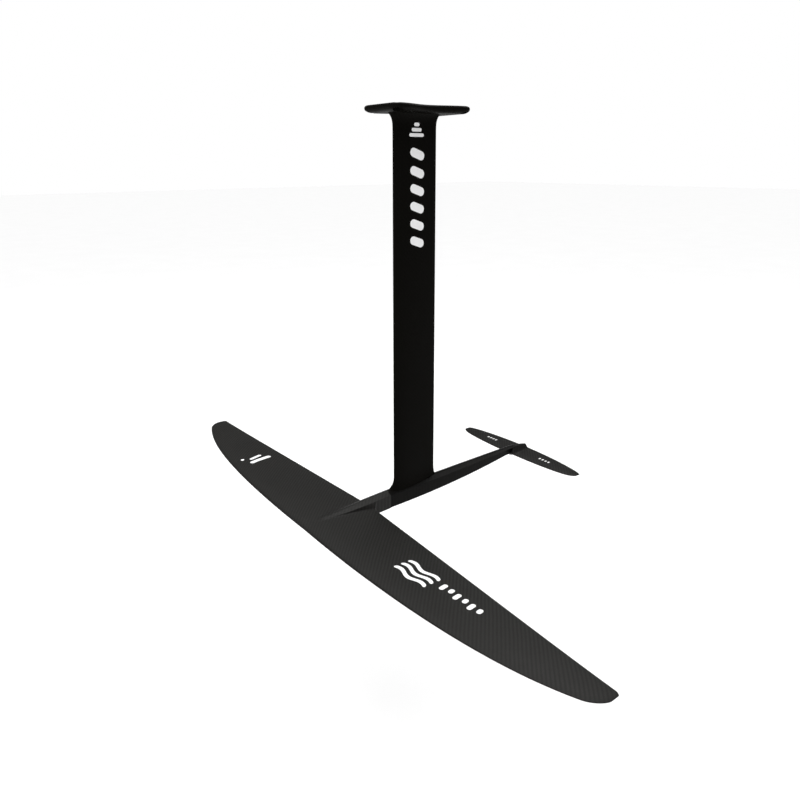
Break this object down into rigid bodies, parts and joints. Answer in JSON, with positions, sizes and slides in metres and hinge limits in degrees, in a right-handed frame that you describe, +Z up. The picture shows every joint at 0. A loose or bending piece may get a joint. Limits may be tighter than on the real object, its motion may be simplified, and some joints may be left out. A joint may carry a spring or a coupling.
{
  "type": "hydrofoil mast and wing set",
  "caption": "Hydrofoil for a board: slotted top plate, foil-section mast, slim fuselage, wide high-aspect front wing and small stabilizer, bonded from shells and cores and bolted from below.",
  "frame": {"origin": "centre of the mast plate's top face, which meets the board, on the mast's axis", "axes": "+Z up to the board and out of the plate's top face, +X to the nose, +Y to port (the longest way, tip to tip)"},
  "size_m": [0.683, 1.3726, 0.8493],
  "materials": {
    "satin_carbon": "satin black moulded carbon laminate",
    "woven_carbon": "charcoal woven carbon under a satin clear coat",
    "raw_carbon": "uncoated carbon laminate",
    "core_foam": "closed-cell structural foam",
    "fastener_steel": "stainless steel",
    "insert_brass": "plain turned brass",
    "shim_plastic": "moulded black plastic"
  },
  "bodies": {
    "root": {"boom_core": "core_foam", "front_wing_hub": "satin_carbon", "front_wing_lower_skin": "woven_carbon", "front_wing_port_core": "core_foam", "front_wing_screw_bushes": "fastener_steel", "front_wing_screws": "fastener_steel", "front_wing_spar": "raw_carbon", "front_wing_starboard_core": "core_foam", "front_wing_upper_skin": "woven_carbon", "fuselage": "satin_carbon", "mast_barrel_nuts": "fastener_steel", "mast_foot_block": "raw_carbon", "mast_nose_core": "core_foam", "mast_screw_bushes": "fastener_steel", "mast_screws": "fastener_steel", "mast_shell": "satin_carbon", "mast_spar": "raw_carbon", "mast_tail_core": "core_foam", "nose_thread_inserts": "insert_brass", "stabilizer_core": "core_foam", "stabilizer_lower_skin": "woven_carbon", "stabilizer_pad": "raw_carbon", "stabilizer_screw_bushes": "fastener_steel", "stabilizer_screws": "fastener_steel", "stabilizer_shim": "shim_plastic", "stabilizer_upper_skin": "woven_carbon", "tail_thread_inserts": "insert_brass"}
  },
  "joints": []
}
